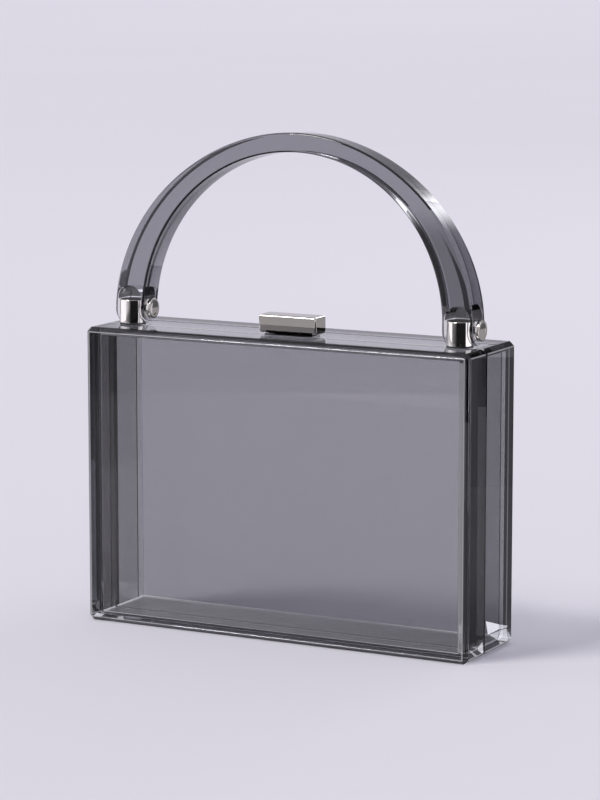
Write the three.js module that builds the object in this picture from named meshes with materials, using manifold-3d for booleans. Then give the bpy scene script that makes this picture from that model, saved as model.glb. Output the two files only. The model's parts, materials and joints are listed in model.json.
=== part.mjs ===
// Box clutch in smoked clear acrylic: two half shells that open like a book on a rod at the foot of their
// seam, an arched grip that swings on two metal posts, and a bar clasp over the seam.
// Millimetres, +Z up. -Y is the front and X runs along the bag. The origin is on the ground, at the middle.

import * as THREE from 'three';
import { ConvexGeometry } from 'three/addons/geometries/ConvexGeometry.js';
import { mergeVertices } from 'three/addons/utils/BufferGeometryUtils.js';
import Module from 'manifold-3d';

// The box
const LENGTH = 200;
const DEPTH = 52;
const HEIGHT = 142;
const EDGE_BEVEL = 2.2;
const PANEL = 7;
const SIDE_WALL = 6;
const FLOOR = 4;
const ROOF = 3.5;

// The seam between the half shells, with the hinge rod in its foot
const SEAM_Y = -6.6;
const SEAM_GAP = 0.3;
const SEAM_BEVEL = 0.4;
const HINGE_HEIGHT = 1.6;
const HINGE_ROD_RADIUS = 0.9;
const HINGE_ROD_LENGTH = 192;

// The posts, the washers under them and the pins across them. The pins cross the rear half of the posts
const FITTING_Y = -1.6;
const POST_FORWARD = 3.4;
const POST_RADIUS = 6.2;
const POST_HEIGHT = 11.4;
const POST_BEVEL = 0.5;
const WASHER_HEIGHT = 0.6;
const PIN_HEIGHT = 7.5;
const PIN_RADIUS = 1.4;
const PIN_HEAD_RADIUS = 4.9;
const PIN_HEAD_THICKNESS = 1.8;
const PIN_HEAD_BEVEL = 0.4;

// The arch of the handle springs from the height of the pins and leans back a little, in degrees
const ARCH_INNER_REACH = 78.2;
const ARCH_INNER_RISE = 77;
const ARCH_INNER_POWER = 2;
const ARCH_OUTER_REACH = 93.6;
const ARCH_OUTER_RISE = 86.1;
const ARCH_OUTER_POWER = 1.93;
const HANDLE_DEPTH = 14.2;
const HANDLE_BEVEL = 0.9;
const FORK_DOME = 6;
const HANDLE_LEAN = 2.8;

// The bar clasp, its foot behind the seam and its strike plate before it
const BAR_LENGTH = 30;
const BAR_DEPTH = 10.8;
const BAR_HEIGHT = 8.6;
const BAR_Y = -5;
const BAR_LIFT = 0.9;
const BAR_TOP_BEVEL = 0.6;
const BAR_FOOT_BEVEL = 1.4;
const PLATE_LENGTH = 24;
const PLATE_THICKNESS = 0.5;
const BEAD_RADIUS = 0.55;

// Clearances
const RUNNING_GAP = 0.3;
const SEAT_GAP = 0.1;
const PAST = 1;

// Facets
const ARCH_STEPS = 120;
const ROUND_STEPS = 48;
const SMALL_STEPS = 24;

const SMOKED_ACRYLIC = { color: 0x8f8d97, roughness: 0.05, metalness: 0, transparent: true, opacity: 0.5 };
const POLISHED_METAL = { color: 0xd9d7d2, roughness: 0.12, metalness: 1 };
const BLACK_RUBBER = { color: 0x151516, roughness: 0.7, metalness: 0 };

const halfLength = LENGTH / 2;
const halfDepth = DEPTH / 2;
const postY = FITTING_Y - POST_FORWARD;
const pinZ = HEIGHT + PIN_HEIGHT;
const legX = (ARCH_INNER_REACH + ARCH_OUTER_REACH) / 2;
const legWidth = ARCH_OUTER_REACH - ARCH_INNER_REACH;
const SIDES = [['left', -1], ['right', 1]];

const wasm = await Module();
wasm.setup();

// A closed geometry as a solid that can be joined and cut
function solid(geometry) {
  const bare = geometry.clone();
  bare.deleteAttribute('normal');
  bare.deleteAttribute('uv');
  const merged = mergeVertices(bare, 1e-5);
  const corners = merged.index.array;
  const kept = [];
  for (let i = 0; i < corners.length; i += 3) {
    const [a, b, c] = corners.slice(i, i + 3);
    if (a !== b && b !== c && c !== a) kept.push(a, b, c);
  }
  return new wasm.Manifold(new wasm.Mesh({
    numProp: 3,
    vertProperties: new Float32Array(merged.attributes.position.array),
    triVerts: new Uint32Array(kept),
  }));
}

// A solid as a three.js geometry
function geometryOf(body) {
  const mesh = body.getMesh();
  const geometry = new THREE.BufferGeometry();
  geometry.setAttribute('position', new THREE.BufferAttribute(mesh.vertProperties, 3));
  geometry.setIndex(new THREE.BufferAttribute(mesh.triVerts, 1));
  geometry.computeVertexNormals();
  return geometry;
}

function piece(name, body, finish) {
  const mesh = new THREE.Mesh(geometryOf(body), new THREE.MeshStandardMaterial(finish));
  mesh.name = name;
  return mesh;
}

// A box between two corners
function block(low, high) {
  const size = high.map((value, i) => value - low[i]);
  const middle = high.map((value, i) => (value + low[i]) / 2);
  return solid(new THREE.BoxGeometry(...size).translate(...middle));
}

// An outline in Y and Z, drawn out along X
function drawnAlongX(outline, length, bevel = 0) {
  const shape = new THREE.Shape(outline.map(([y, z]) => new THREE.Vector2(y, z)));
  const geometry = new THREE.ExtrudeGeometry(shape, {
    depth: length - 2 * bevel,
    bevelEnabled: bevel > 0,
    bevelThickness: bevel,
    bevelSize: bevel,
    bevelOffset: -bevel,
    bevelSegments: 1,
  });
  geometry.translate(0, 0, bevel - length / 2);
  // The outline's Y, Z and its depth become the object's Y, Z and X
  const turn = new THREE.Matrix4().set(0, 0, 1, 0, 1, 0, 0, 0, 0, 1, 0, 0, 0, 0, 0, 1);
  return solid(geometry.applyMatrix4(turn));
}

// A rod along X through y, z
function rodAlongX(radius, length, y, z, steps = SMALL_STEPS) {
  const rod = new THREE.CylinderGeometry(radius, radius, length, steps);
  return solid(rod.rotateZ(Math.PI / 2).translate(0, y, z));
}

// A profile of [radius, height] pairs, from the lowest up, turned about Z
function turned(profile, steps) {
  const points = profile.map(([radius, height]) => new THREE.Vector2(radius, height));
  return new THREE.LatheGeometry(points, steps).rotateX(Math.PI / 2);
}

// A half shell's outer form: its long edges are bevelled, and so is each end by its own amount
function bevelledTray(yFront, yBack, frontBevel, backBevel) {
  const stations = [
    { y: yFront, inset: frontBevel },
    { y: yFront + frontBevel, inset: 0 },
    { y: yBack - backBevel, inset: 0 },
    { y: yBack, inset: backBevel },
  ];
  const middle = HEIGHT / 2;
  const points = [];
  for (const { y, inset } of stations) {
    for (const sx of [-1, 1]) {
      for (const sz of [-1, 1]) {
        const wide = [halfLength - inset, middle - EDGE_BEVEL];
        const tall = [halfLength - EDGE_BEVEL, middle - inset];
        for (const [x, z] of [wide, tall]) points.push(new THREE.Vector3(sx * x, y, middle + sz * z));
      }
    }
  }
  return solid(new ConvexGeometry(points));
}

// The hollow of both shells, from the front panel to the back panel
const hollow = block(
  [SIDE_WALL - halfLength, PANEL - halfDepth, FLOOR],
  [halfLength - SIDE_WALL, halfDepth - PANEL, HEIGHT - ROOF],
);

// A right-angled groove under the seam gives the front shell room to turn, and the rod lies at its apex
const grooveDrop = HINGE_HEIGHT + PAST;
const hingeGroove = drawnAlongX(
  [[SEAM_Y, HINGE_HEIGHT], [SEAM_Y - grooveDrop, -PAST], [SEAM_Y + grooveDrop, -PAST]],
  LENGTH + 2 * PAST,
).add(rodAlongX(HINGE_ROD_RADIUS + RUNNING_GAP, LENGTH + 2 * PAST, SEAM_Y, HINGE_HEIGHT));

function shell(yFront, yBack, frontBevel, backBevel) {
  return bevelledTray(yFront, yBack, frontBevel, backBevel).subtract(hollow).subtract(hingeGroove);
}

function frontShell() {
  return shell(-halfDepth, SEAM_Y - SEAM_GAP / 2, EDGE_BEVEL, SEAM_BEVEL);
}

function backShell() {
  return shell(SEAM_Y + SEAM_GAP / 2, halfDepth, SEAM_BEVEL, EDGE_BEVEL);
}

function hingeRod() {
  return rodAlongX(HINGE_ROD_RADIUS, HINGE_ROD_LENGTH, SEAM_Y, HINGE_HEIGHT);
}

// A point of an arch: angle 0 is its right foot and half a turn its left one
function archPoint(reach, rise, power, angle) {
  const across = Math.cos(angle);
  const up = Math.sin(angle);
  const x = reach * Math.sign(across) * Math.abs(across) ** (2 / power);
  const z = rise * Math.abs(up) ** (2 / power);
  return new THREE.Vector2(x, z);
}

// The arch as a flat ring open at the foot, then its rounded ends, fork slots and pin holes
function handle() {
  const foot = -HANDLE_DEPTH;
  const outer = [];
  const inner = [];
  for (let i = 0; i <= ARCH_STEPS; i++) {
    const angle = Math.PI * i / ARCH_STEPS;
    outer.push(archPoint(ARCH_OUTER_REACH, ARCH_OUTER_RISE, ARCH_OUTER_POWER, angle));
    inner.push(archPoint(ARCH_INNER_REACH, ARCH_INNER_RISE, ARCH_INNER_POWER, Math.PI - angle));
  }
  const outline = new THREE.Shape([
    new THREE.Vector2(ARCH_OUTER_REACH, foot),
    ...outer,
    new THREE.Vector2(-ARCH_OUTER_REACH, foot),
    new THREE.Vector2(-ARCH_INNER_REACH, foot),
    ...inner,
    new THREE.Vector2(ARCH_INNER_REACH, foot),
  ]);
  const arch = new THREE.ExtrudeGeometry(outline, {
    depth: HANDLE_DEPTH - 2 * HANDLE_BEVEL,
    bevelThickness: HANDLE_BEVEL,
    bevelSize: HANDLE_BEVEL,
    bevelOffset: -HANDLE_BEVEL,
    bevelSegments: 1,
  });
  arch.translate(0, 0, HANDLE_BEVEL - HANDLE_DEPTH / 2);
  arch.rotateX(Math.PI / 2);

  const halfWidth = HANDLE_DEPTH / 2;
  const roundEnd = [[halfWidth, ARCH_OUTER_RISE + PAST], [-halfWidth, ARCH_OUTER_RISE + PAST]];
  for (let i = 0; i <= SMALL_STEPS; i++) {
    const angle = Math.PI + Math.PI * i / SMALL_STEPS;
    roundEnd.push([halfWidth * Math.cos(angle), halfWidth * Math.sin(angle)]);
  }
  let body = solid(arch).intersect(drawnAlongX(roundEnd, LENGTH));
  for (const [, side] of SIDES) body = body.subtract(forkSlot(side));
  body = body.subtract(rodAlongX(PIN_RADIUS + RUNNING_GAP, LENGTH, 0, 0));
  return body.rotate([-HANDLE_LEAN, 0, 0]).translate(0, FITTING_Y, pinZ);
}

// The slot that straddles a post, measured from the pins' axis. Over the pins it is a domed pocket with a back wall,
// just large enough for the post to pass as the handle swings to the front or to the back
function forkSlot(side) {
  const halfSlot = POST_RADIUS + RUNNING_GAP;
  const shoulder = WASHER_HEIGHT + POST_HEIGHT - PIN_HEIGHT + RUNNING_GAP;
  const sill = POST_RADIUS - POST_FORWARD + RUNNING_GAP;
  const past = HANDLE_DEPTH / 2 + PAST;
  const outline = new THREE.Shape();
  outline.moveTo(-halfSlot, -HANDLE_DEPTH);
  outline.lineTo(halfSlot, -HANDLE_DEPTH);
  outline.lineTo(halfSlot, shoulder);
  outline.absellipse(0, shoulder, halfSlot, FORK_DOME, 0, Math.PI, false);
  outline.closePath();
  const depth = past + shoulder;
  const pocket = new THREE.ExtrudeGeometry(outline, { depth, bevelEnabled: false, curveSegments: SMALL_STEPS });
  pocket.translate(0, 0, -shoulder);
  pocket.rotateX(Math.PI / 2);
  const rear = block([-halfSlot, 0, -HANDLE_DEPTH], [halfSlot, past, sill]);
  return solid(pocket).add(rear).translate(side * legX, 0, 0);
}

function post(side) {
  const base = HEIGHT + WASHER_HEIGHT + SEAT_GAP;
  const top = HEIGHT + WASHER_HEIGHT + POST_HEIGHT;
  const column = solid(turned([
    [0, base],
    [POST_RADIUS, base],
    [POST_RADIUS, top - POST_BEVEL],
    [POST_RADIUS - POST_BEVEL, top],
    [0, top],
  ], ROUND_STEPS));
  return column.translate(side * legX, postY, 0)
    .subtract(rodAlongX(PIN_RADIUS + RUNNING_GAP, LENGTH, FITTING_Y, pinZ));
}

// A post reaches over the seam, so its washer is cut back to the back shell
function washer(side) {
  const low = HEIGHT + SEAT_GAP;
  const high = HEIGHT + WASHER_HEIGHT;
  const disc = turned([[0, low], [POST_RADIUS, low], [POST_RADIUS, high], [0, high]], ROUND_STEPS);
  const backShellEdge = SEAM_Y + SEAM_GAP / 2 + SEAM_BEVEL;
  return solid(disc).translate(side * legX, postY, 0)
    .intersect(block([-halfLength, backShellEdge, HEIGHT], [halfLength, halfDepth, HEIGHT + POST_HEIGHT]));
}

// A pin with a bevelled round head on the right of the fork and its end flush on the left
function pin(side) {
  const flush = legWidth / 2;
  const seat = flush + RUNNING_GAP;
  const end = seat + PIN_HEAD_THICKNESS;
  const spindle = turned([
    [0, -flush],
    [PIN_RADIUS, -flush],
    [PIN_RADIUS, seat],
    [PIN_HEAD_RADIUS, seat],
    [PIN_HEAD_RADIUS, end - PIN_HEAD_BEVEL],
    [PIN_HEAD_RADIUS - PIN_HEAD_BEVEL, end],
    [0, end],
  ], ROUND_STEPS).rotateY(Math.PI / 2);
  return solid(spindle.translate(side * legX, FITTING_Y, pinZ));
}

// The bar turns about the middle of its rear lower bevel, where the foot's bead lies in a round groove
const barFront = BAR_Y - BAR_DEPTH / 2;
const barRear = BAR_Y + BAR_DEPTH / 2;
const barFloor = HEIGHT + BAR_LIFT;
const barTop = barFloor + BAR_HEIGHT;
const beadY = barRear - BAR_FOOT_BEVEL / 2;
const beadZ = barFloor + BAR_FOOT_BEVEL / 2;

function claspBar() {
  const outline = [
    [barFront + BAR_FOOT_BEVEL, barFloor],
    [barRear - BAR_FOOT_BEVEL, barFloor],
    [barRear, barFloor + BAR_FOOT_BEVEL],
    [barRear, barTop - BAR_TOP_BEVEL],
    [barRear - BAR_TOP_BEVEL, barTop],
    [barFront + BAR_TOP_BEVEL, barTop],
    [barFront, barTop - BAR_TOP_BEVEL],
    [barFront, barFloor + BAR_FOOT_BEVEL],
  ];
  return drawnAlongX(outline, BAR_LENGTH, BAR_TOP_BEVEL)
    .subtract(rodAlongX(BEAD_RADIUS + RUNNING_GAP, BAR_LENGTH, beadY, beadZ));
}

function claspFoot() {
  const base = HEIGHT + SEAT_GAP;
  const top = base + PLATE_THICKNESS;
  const front = SEAM_Y + SEAM_GAP / 2 + SEAM_BEVEL;
  const plate = block([-PLATE_LENGTH / 2, front, base], [PLATE_LENGTH / 2, beadY + BEAD_RADIUS, top]);
  const web = block(
    [-PLATE_LENGTH / 2, beadY - BEAD_RADIUS / 2, base],
    [PLATE_LENGTH / 2, beadY + BEAD_RADIUS / 2, beadZ],
  );
  return plate.add(web).add(rodAlongX(BEAD_RADIUS, PLATE_LENGTH, beadY, beadZ));
}

function strikePlate() {
  const base = HEIGHT + SEAT_GAP;
  const rear = SEAM_Y - SEAM_GAP / 2 - SEAM_BEVEL;
  return block(
    [-PLATE_LENGTH / 2, barFront + BAR_FOOT_BEVEL / 2, base],
    [PLATE_LENGTH / 2, rear, base + PLATE_THICKNESS],
  );
}

const clutch = new THREE.Group();
clutch.add(piece('front_shell', frontShell(), SMOKED_ACRYLIC));
clutch.add(piece('back_shell', backShell(), SMOKED_ACRYLIC));
clutch.add(piece('hinge_rod', hingeRod(), SMOKED_ACRYLIC));
clutch.add(piece('handle', handle(), SMOKED_ACRYLIC));
clutch.add(piece('clasp_bar', claspBar(), POLISHED_METAL));
clutch.add(piece('clasp_foot', claspFoot(), POLISHED_METAL));
clutch.add(piece('strike_plate', strikePlate(), POLISHED_METAL));
for (const [name, side] of SIDES) {
  clutch.add(piece(`post_${name}`, post(side), POLISHED_METAL));
  clutch.add(piece(`washer_${name}`, washer(side), BLACK_RUBBER));
  clutch.add(piece(`pin_${name}`, pin(side), POLISHED_METAL));
}

export default clutch;
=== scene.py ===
"""Box clutch in smoked clear acrylic with polished metal fittings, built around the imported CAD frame.

Lengths are metres in the CAD's own frame: +Z up, -Y the front, X along the bag.
"""

import json
import math

import bmesh
import bpy
from bpy.props import FloatProperty, FloatVectorProperty, IntProperty, PointerProperty
from mathutils import Matrix, Vector

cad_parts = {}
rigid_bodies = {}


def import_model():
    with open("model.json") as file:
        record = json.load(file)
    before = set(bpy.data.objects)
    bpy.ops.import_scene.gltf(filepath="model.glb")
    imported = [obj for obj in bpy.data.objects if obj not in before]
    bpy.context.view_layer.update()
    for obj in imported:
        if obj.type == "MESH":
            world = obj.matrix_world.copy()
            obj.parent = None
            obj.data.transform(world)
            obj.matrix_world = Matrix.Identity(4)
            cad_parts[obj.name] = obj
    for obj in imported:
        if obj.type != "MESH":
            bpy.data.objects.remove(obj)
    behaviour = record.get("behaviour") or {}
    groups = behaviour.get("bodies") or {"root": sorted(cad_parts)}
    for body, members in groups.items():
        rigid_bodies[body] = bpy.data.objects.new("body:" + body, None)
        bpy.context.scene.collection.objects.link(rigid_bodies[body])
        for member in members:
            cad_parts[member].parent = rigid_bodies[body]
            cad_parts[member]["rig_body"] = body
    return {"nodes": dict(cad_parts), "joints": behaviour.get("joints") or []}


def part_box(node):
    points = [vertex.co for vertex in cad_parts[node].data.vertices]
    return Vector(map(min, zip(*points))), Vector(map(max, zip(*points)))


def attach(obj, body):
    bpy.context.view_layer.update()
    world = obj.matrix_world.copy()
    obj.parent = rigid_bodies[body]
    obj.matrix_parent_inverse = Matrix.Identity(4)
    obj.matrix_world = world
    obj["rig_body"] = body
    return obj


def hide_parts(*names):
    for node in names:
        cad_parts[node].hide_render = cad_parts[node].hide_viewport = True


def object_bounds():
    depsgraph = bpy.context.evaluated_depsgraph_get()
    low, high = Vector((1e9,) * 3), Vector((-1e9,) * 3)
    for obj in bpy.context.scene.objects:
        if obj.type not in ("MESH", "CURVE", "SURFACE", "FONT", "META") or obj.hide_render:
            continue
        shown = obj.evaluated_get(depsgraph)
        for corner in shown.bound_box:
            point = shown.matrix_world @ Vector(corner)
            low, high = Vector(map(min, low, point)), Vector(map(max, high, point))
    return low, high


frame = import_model()
CAD_LOW, CAD_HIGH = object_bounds()

bl_info = {
    "name": "Box clutch",
    "version": (1, 0, 0),
    "blender": (4, 5, 0),
    "location": "View3D > Sidebar > Clutch",
    "description": "Dresses the box clutch's CAD frame in smoked acrylic and polished metal",
    "category": "Object",
}

MM = 0.001
SIDES = {"left": -1, "right": 1}

# Places taken from the frame
SHELL_LOW = Vector(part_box("front_shell")[0])
SHELL_HIGH = Vector(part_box("back_shell")[1])
HANDLE_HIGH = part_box("handle")[1]
SWING = Vector(next(j["pos_m"] for j in frame["joints"] if j["name"] == "handle_swing"))
SEAM_Y = (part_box("front_shell")[1].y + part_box("back_shell")[0].y) / 2

# How meshes are made: welds, angles, lengths and counts of steps
WELD = 1e-6
LEVEL_ANGLE = math.radians(0.5)
EDGE_ANGLE = math.radians(20)
SHARP_ANGLE = math.radians(35)
MIN_EDGE = 2 * MM
SEAM_CLEAR = 2.3 * MM
WASHER_LIFT = 0.05 * MM
ROUND_STEPS = 96
HOLE_STEPS = 48
CORNER_STEPS = 4
SOFT_STEPS = 3
FOOT_STEPS = 24
FOOT_TURN = math.radians(88)
DOME_STEPS = 32
RIM_STEPS = 6
DISH_STEPS = 12
DISH_SHARE = 0.8

# How far a face has to be turned to an axis to count as flat, half turned or tipped
FLAT = 0.99
SEAM_FLAT = 0.9
HALF_TURNED = 0.72
TIPPED = 0.1

# Lines of painted light and shade in the box, and the dark seam: distances from the seam, then spans of
# Y, X and Z
SEAM_REACH = 0.6 * MM
SEAM_LINE = 2.6 * MM
BACK_CORNER = (13.6 * MM, 14.5 * MM)
BACK_LINE = (17.4 * MM, 18.5 * MM)
TOP_LINE = (8.2 * MM, 11 * MM)
PANEL_END = (95.65 * MM, 97.4 * MM)
PANEL_END_RISE = (6 * MM, 138 * MM)
# The floor's light: least share along the corners, share at the middle, fall to the right
FLOOR_LINE_LEAST = 0.3
SHEEN_MIDDLE = 0.65
SHEEN_FALL = 0.35

# Lines in the handle: how far its edges face front, then heights where shade and light rise or fade
EDGE_FACING = (0.15, 0.93)
FRONT_SHADE = (188 * MM, 206 * MM)
SHINE_RISE = (190 * MM, 203.5 * MM)
SHINE_FALL = (210 * MM, 203.5 * MM)
SHOULDER = (207 * MM, 211 * MM)
SHOULDER_REACH = (15 * MM, 45 * MM)
# The painted shade stripe lies between two shares of the outer arch, narrows from its foot up and fades
STRIPE = (0.935, 0.99)
STRIPE_NARROWING = 0.035
STRIPE_RISE = (164 * MM, 190 * MM)
STRIPE_FADE = (178 * MM, 197 * MM)
POCKET_ROOM = 1.5

# Finishes: least roughness and what the grain adds to it, and the shade of cloudy parts
POLISH = 0.012
# Colour and gloss of the dark surface that draws the painted shade lines
PAINTED_SHADE_COLOUR = (0.02, 0.02, 0.022)
PAINTED_SHADE_GLOSS = {"Roughness": 0.25, "Specular IOR Level": 0.2}
SHADOW_TINT = (0.92, 0.92, 0.93)
METAL_ROUGHNESS = (0.035, 0.05)
METAL_SHADE = 0.93
BUFFING = (240.0, 2600.0, 2600.0)
RUBBER_ROUGHNESS = (0.5, 0.25)
RUBBER_SHADE = 2.2
PAPER_ROUGHNESS = (0.8, 0.1)
PAPER_SHADE = 0.97
CARD_ROUGHNESS = (0.9, 0.1)
CLEAR = (1.0, 1.0, 1.0)
NO_LIGHT = (0.0, 0.0, 0.0)

# Studio cards
BLACK = (0.004, 0.004, 0.004)
DARK = (0.12, 0.12, 0.125)
GREY = (0.33, 0.325, 0.325)
PALE = (0.36, 0.35, 0.35)
WHITE = (0.9, 0.88, 0.93)
CARD_STEPS = 24
CARD_LIFT = 4 * MM
# Each standing card: its azimuths, distance, foot, top, colour at either end and glow
CARDS = {
    "black_card": ((4, 76), 0.75, CARD_LIFT, 0.9, (BLACK, BLACK), 0.0),
    "shaded_card": ((-40, 4), 0.75, CARD_LIFT, 0.055, (GREY, BLACK), 0.1),
    "upper_card": ((-40, 4), 0.75, 0.055, 0.9, (WHITE, BLACK), 0.5),
    "left_card": ((-100, -40), 0.75, CARD_LIFT, 0.9, (WHITE, WHITE), 1.0),
    "right_card": ((76, 128), 0.75, CARD_LIFT, 0.9, (WHITE, WHITE), 0.9),
    "low_card": ((130, 168), 0.45, CARD_LIFT, 0.08, (DARK, DARK), 0.0),
    "middle_card": ((130, 168), 0.45, 0.08, 0.155, (PALE, PALE), 0.1),
    "high_card": ((130, 168), 0.45, 0.155, 0.4, (BLACK, BLACK), 0.0),
}
# Each card that lies on the floor: two corners and its colour
FLOOR_CARDS = {
    "right_floor_card": ((0.104, -0.03), (0.36, 0.45), DARK),
    "front_floor_card": ((-0.6, -0.66), (0.1, -0.03), PALE),
}
# Facets of light at the foot of each end wall: corners in mm of Y and Z, clockwise, and brightness
END_FACETS = (
    (((-5, 16.6), (10, 12), (10.8, 9.8), (-2.6, 9.8)), 0.95),
    (((10.8, 11.8), (19.6, 9.4), (18, 8.8), (11.4, 9.4)), 0.7),
    (((-1, 9.4), (11.4, 9), (7.5, 5.4)), 0.55),
    (((11.8, 9), (17.8, 8.4), (21, 1.6), (8, 5)), 0.75),
    (((18.3, 8.2), (25.4, 1.4), (21.6, 1.4)), 0.5),
    (((10.1, 4), (21, 1), (19, 0.4), (11.7, 0.4)), 0.6),
    (((-13.5, 6.2), (-8.4, 7.6), (-7.6, 2.3), (-13, 4.4)), 0.7),
    (((-20.4, 7.6), (-14, 7), (-14, 5.2)), 0.3),
    (((-23.5, 6.9), (-20.6, 6), (-11.6, 1.1), (-14.7, 1.1)), 0.45),
)
# Facets of light at the foot of the front, at its left end: corners in mm of X and Z
FRONT_FACETS = (
    (((-98, 1.2), (-95, 4), (-90.7, 3.7), (-95.6, 0.8)), 0.7),
    (((-94.5, 4.2), (-90.4, 3.9), (-88, 4.6)), 0.35),
    (((-83.5, 3.3), (-80.2, 4.1), (-79.7, 1.7), (-82.4, 1.5)), 0.5),
    (((-79, 4), (-70, 4.4), (-71, 3.2), (-78.8, 3)), 0.16),
)
# Studio: rings of the floor, lamps, camera and light paths
FLOOR_RINGS = (0.0, 0.3, 1.0)
SWEEP_STEPS = 16
KEY_AWAY = 3.0
RIM_PLACE = (0.4, 2.2, 1.3)
RIM_SIZE = 0.8
RIM_POWER = 3.5
SENSOR_MM = 36
BOUNCES = 32
GLOSSY_BOUNCES = 12


def length(name, description, default):
    """A size in metres that a user may change"""
    return FloatProperty(
        name=name, description=description, default=default, min=0, unit="LENGTH", precision=5
    )


def share(name, description, default, top=1.0):
    """A plain number from nought up"""
    return FloatProperty(name=name, description=description, default=default, min=0, max=top)


def colour(name, description, default):
    """A linear colour that a user may change"""
    return FloatVectorProperty(
        name=name, description=description, default=default, size=3, min=0, max=1, subtype="COLOR"
    )


def tint(name, description, grey):
    """A grey tint that a user may change to another colour"""
    return colour(name, description, (grey, grey, grey))


def turn(name, description, degrees):
    """An angle that a user may change"""
    angle = math.radians(degrees)
    return FloatProperty(name=name, description=description, default=angle, subtype="ANGLE")


class ClutchAcrylic(bpy.types.PropertyGroup):
    """The smoked acrylic of the box and the handle"""

    smoke: colour("Smoke", "Colour that the acrylic lets through, deep in it", (0.5, 0.5, 0.53))
    box_depth: share("Box smoke", "Absorption in the box's walls, per metre", 95.0, 1000.0)
    handle_depth: share("Handle smoke", "Absorption in the handle, per metre", 150.0, 1000.0)
    panel: tint("Panels", "Tint on the inside of the front and the back", 0.745)
    # Painted shade on the inside of the end walls: near black at the front shell's right, lighter at its
    # left and in the back shell
    right_wall_shade: tint("Right front wall", "Tint on the inside of the front shell's right end", 0.004)
    left_wall_shade: tint("Left front wall", "Tint on the inside of the front shell's left end", 0.04)
    back_wall_shade: tint("Back walls", "Tint on the inside of the back shell's end walls", 0.28)
    # Painted shade in the upright rounded inner corners of the front half
    corner: tint("Corners", "Tint of the rounded inner corners", 0.1)
    # Painted shade on the end walls next to the back panel, lighter than the back walls'
    back_corner_shade: tint("Back corners", "Tint of the end walls next to the back panel", 0.55)
    # The dark seam joint, and painted shade lines in the top inner corners, by the back corners and on
    # the top's rounded outer edges
    seam: tint("Dark lines", "Tint of the seam's bevels and of the box's other dark lines", 0.001)
    # Painted shade on the chamfers, lighter round the top
    chamfer_shade: tint("Chamfers", "Tint of the box's chamfered edges", 0.14)
    top_chamfer_shade: tint("Top chamfers", "Tint of the chamfers round the top", 0.3)
    # Painted shade on the handle's rounded edges, darker on those that face right
    grip_edge_shade: tint("Grip edges", "Tint of the handle's rounded edges that face right", 0.002)
    far_edge_shade: tint("Far grip edges", "Tint of the handle's rounded edges that face left", 0.3)
    # Painted shade under the arch and on the right leg's front
    grip_inside_shade: tint("Grip inside", "Tint of the arch's underside above the feet", 0.35)
    grip_front_shade: tint("Grip front", "Tint of the right leg's front", 0.5)
    grip_shine: colour("Grip shine", "Soft light on the right shoulder of the arch", (0.7, 0.7, 0.73))
    # Painted shade: a dark stripe down the right leg's front
    grip_stripe_shade: share("Grip line", "Strength of the dark stripe in the right leg", 0.92)
    grip_shade: share("Grip shade", "Strength of the shade over the right shoulder", 0.7)
    # Painted shade inside the pockets over the posts
    fork: tint("Fork", "Tint inside the pockets over the posts", 0.03)
    # Painted shade: a dark line across the top face
    top_shade_line: share("Top line", "Strength of the dark line where the back panel meets the top", 0.8)
    # Painted light, as emission: the outer edges, the seam on the top, the floor's corners, the back
    # panel's ends and inner corner, the front panel's right end, the floor, and facets at the walls' feet
    edge_glow: colour("Edge glow", "Light that leaves the acrylic at its edges", (0.24, 0.24, 0.25))
    seam_glow: colour("Seam glow", "Light along the seam on the top", (0.5, 0.5, 0.52))
    floor_glow: colour("Floor glow", "Light along the inner corners at the floor", (0.4, 0.4, 0.42))
    back_glow: colour("Back edge glow", "Light in the back panel's ends", (0.026, 0.026, 0.03))
    back_line: colour("Back line", "Light along the back panel's inner corner", (0.13, 0.13, 0.14))
    panel_end: colour("Panel end", "Light at the right end of the front panel", (0.155, 0.155, 0.162))
    floor_sheen: colour("Floor sheen", "Light on the floor inside the box", (0.1, 0.1, 0.105))
    spark: colour("Sparkle", "Facets of light at the foot of the end walls", (0.66, 0.66, 0.72))
    left_spark: share("Left sparkle", "Strength of the facets on the left, as a share of the right", 0.4)
    wall: length("End wall", "Thickness of the box's end walls", 6 * MM)
    chamfer_reach: length("Chamfer", "How far the chamfers reach in from the box's sides", 2.4 * MM)
    soft_edge: length("Soft edge", "Rounding of the polished outer edges", 0.3 * MM)
    fillet: length("Fillet", "Rounding of the inner corners", 0.5 * MM)
    ior: share("Index", "Refractive index of acrylic", 1.49, 3.0)


class ClutchHandle(bpy.types.PropertyGroup):
    """The arched grip"""

    inner_reach: length("Inner reach", "Half the opening's width at the pins", 78.2 * MM)
    inner_rise: length("Inner rise", "The opening's height above the pins", 77 * MM)
    outer_rise: length("Outer rise", "The arch's height above the pins", 86.1 * MM)
    depth: length("Depth", "The arch's depth from front to back", 14.2 * MM)
    lean: turn("Lean", "How far the arch leans back", 2.8)
    inner_power: share("Inner power", "Roundness of the inner arch, 2 for an ellipse", 2.0, 6.0)
    outer_power: share("Outer power", "Roundness of the outer arch, 2 for an ellipse", 1.93, 6.0)
    edge: length("Edge", "Radius of the handle's long edges", 1.2 * MM)
    dome: length("Dome", "Rise of the domed top of the pocket over each post", 6 * MM)
    clearance: length("Clearance", "Room round the posts and the pins", 0.3 * MM)
    steps: IntProperty(name="Steps", description="Sections along the arch", default=160, min=16, max=400)


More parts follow.
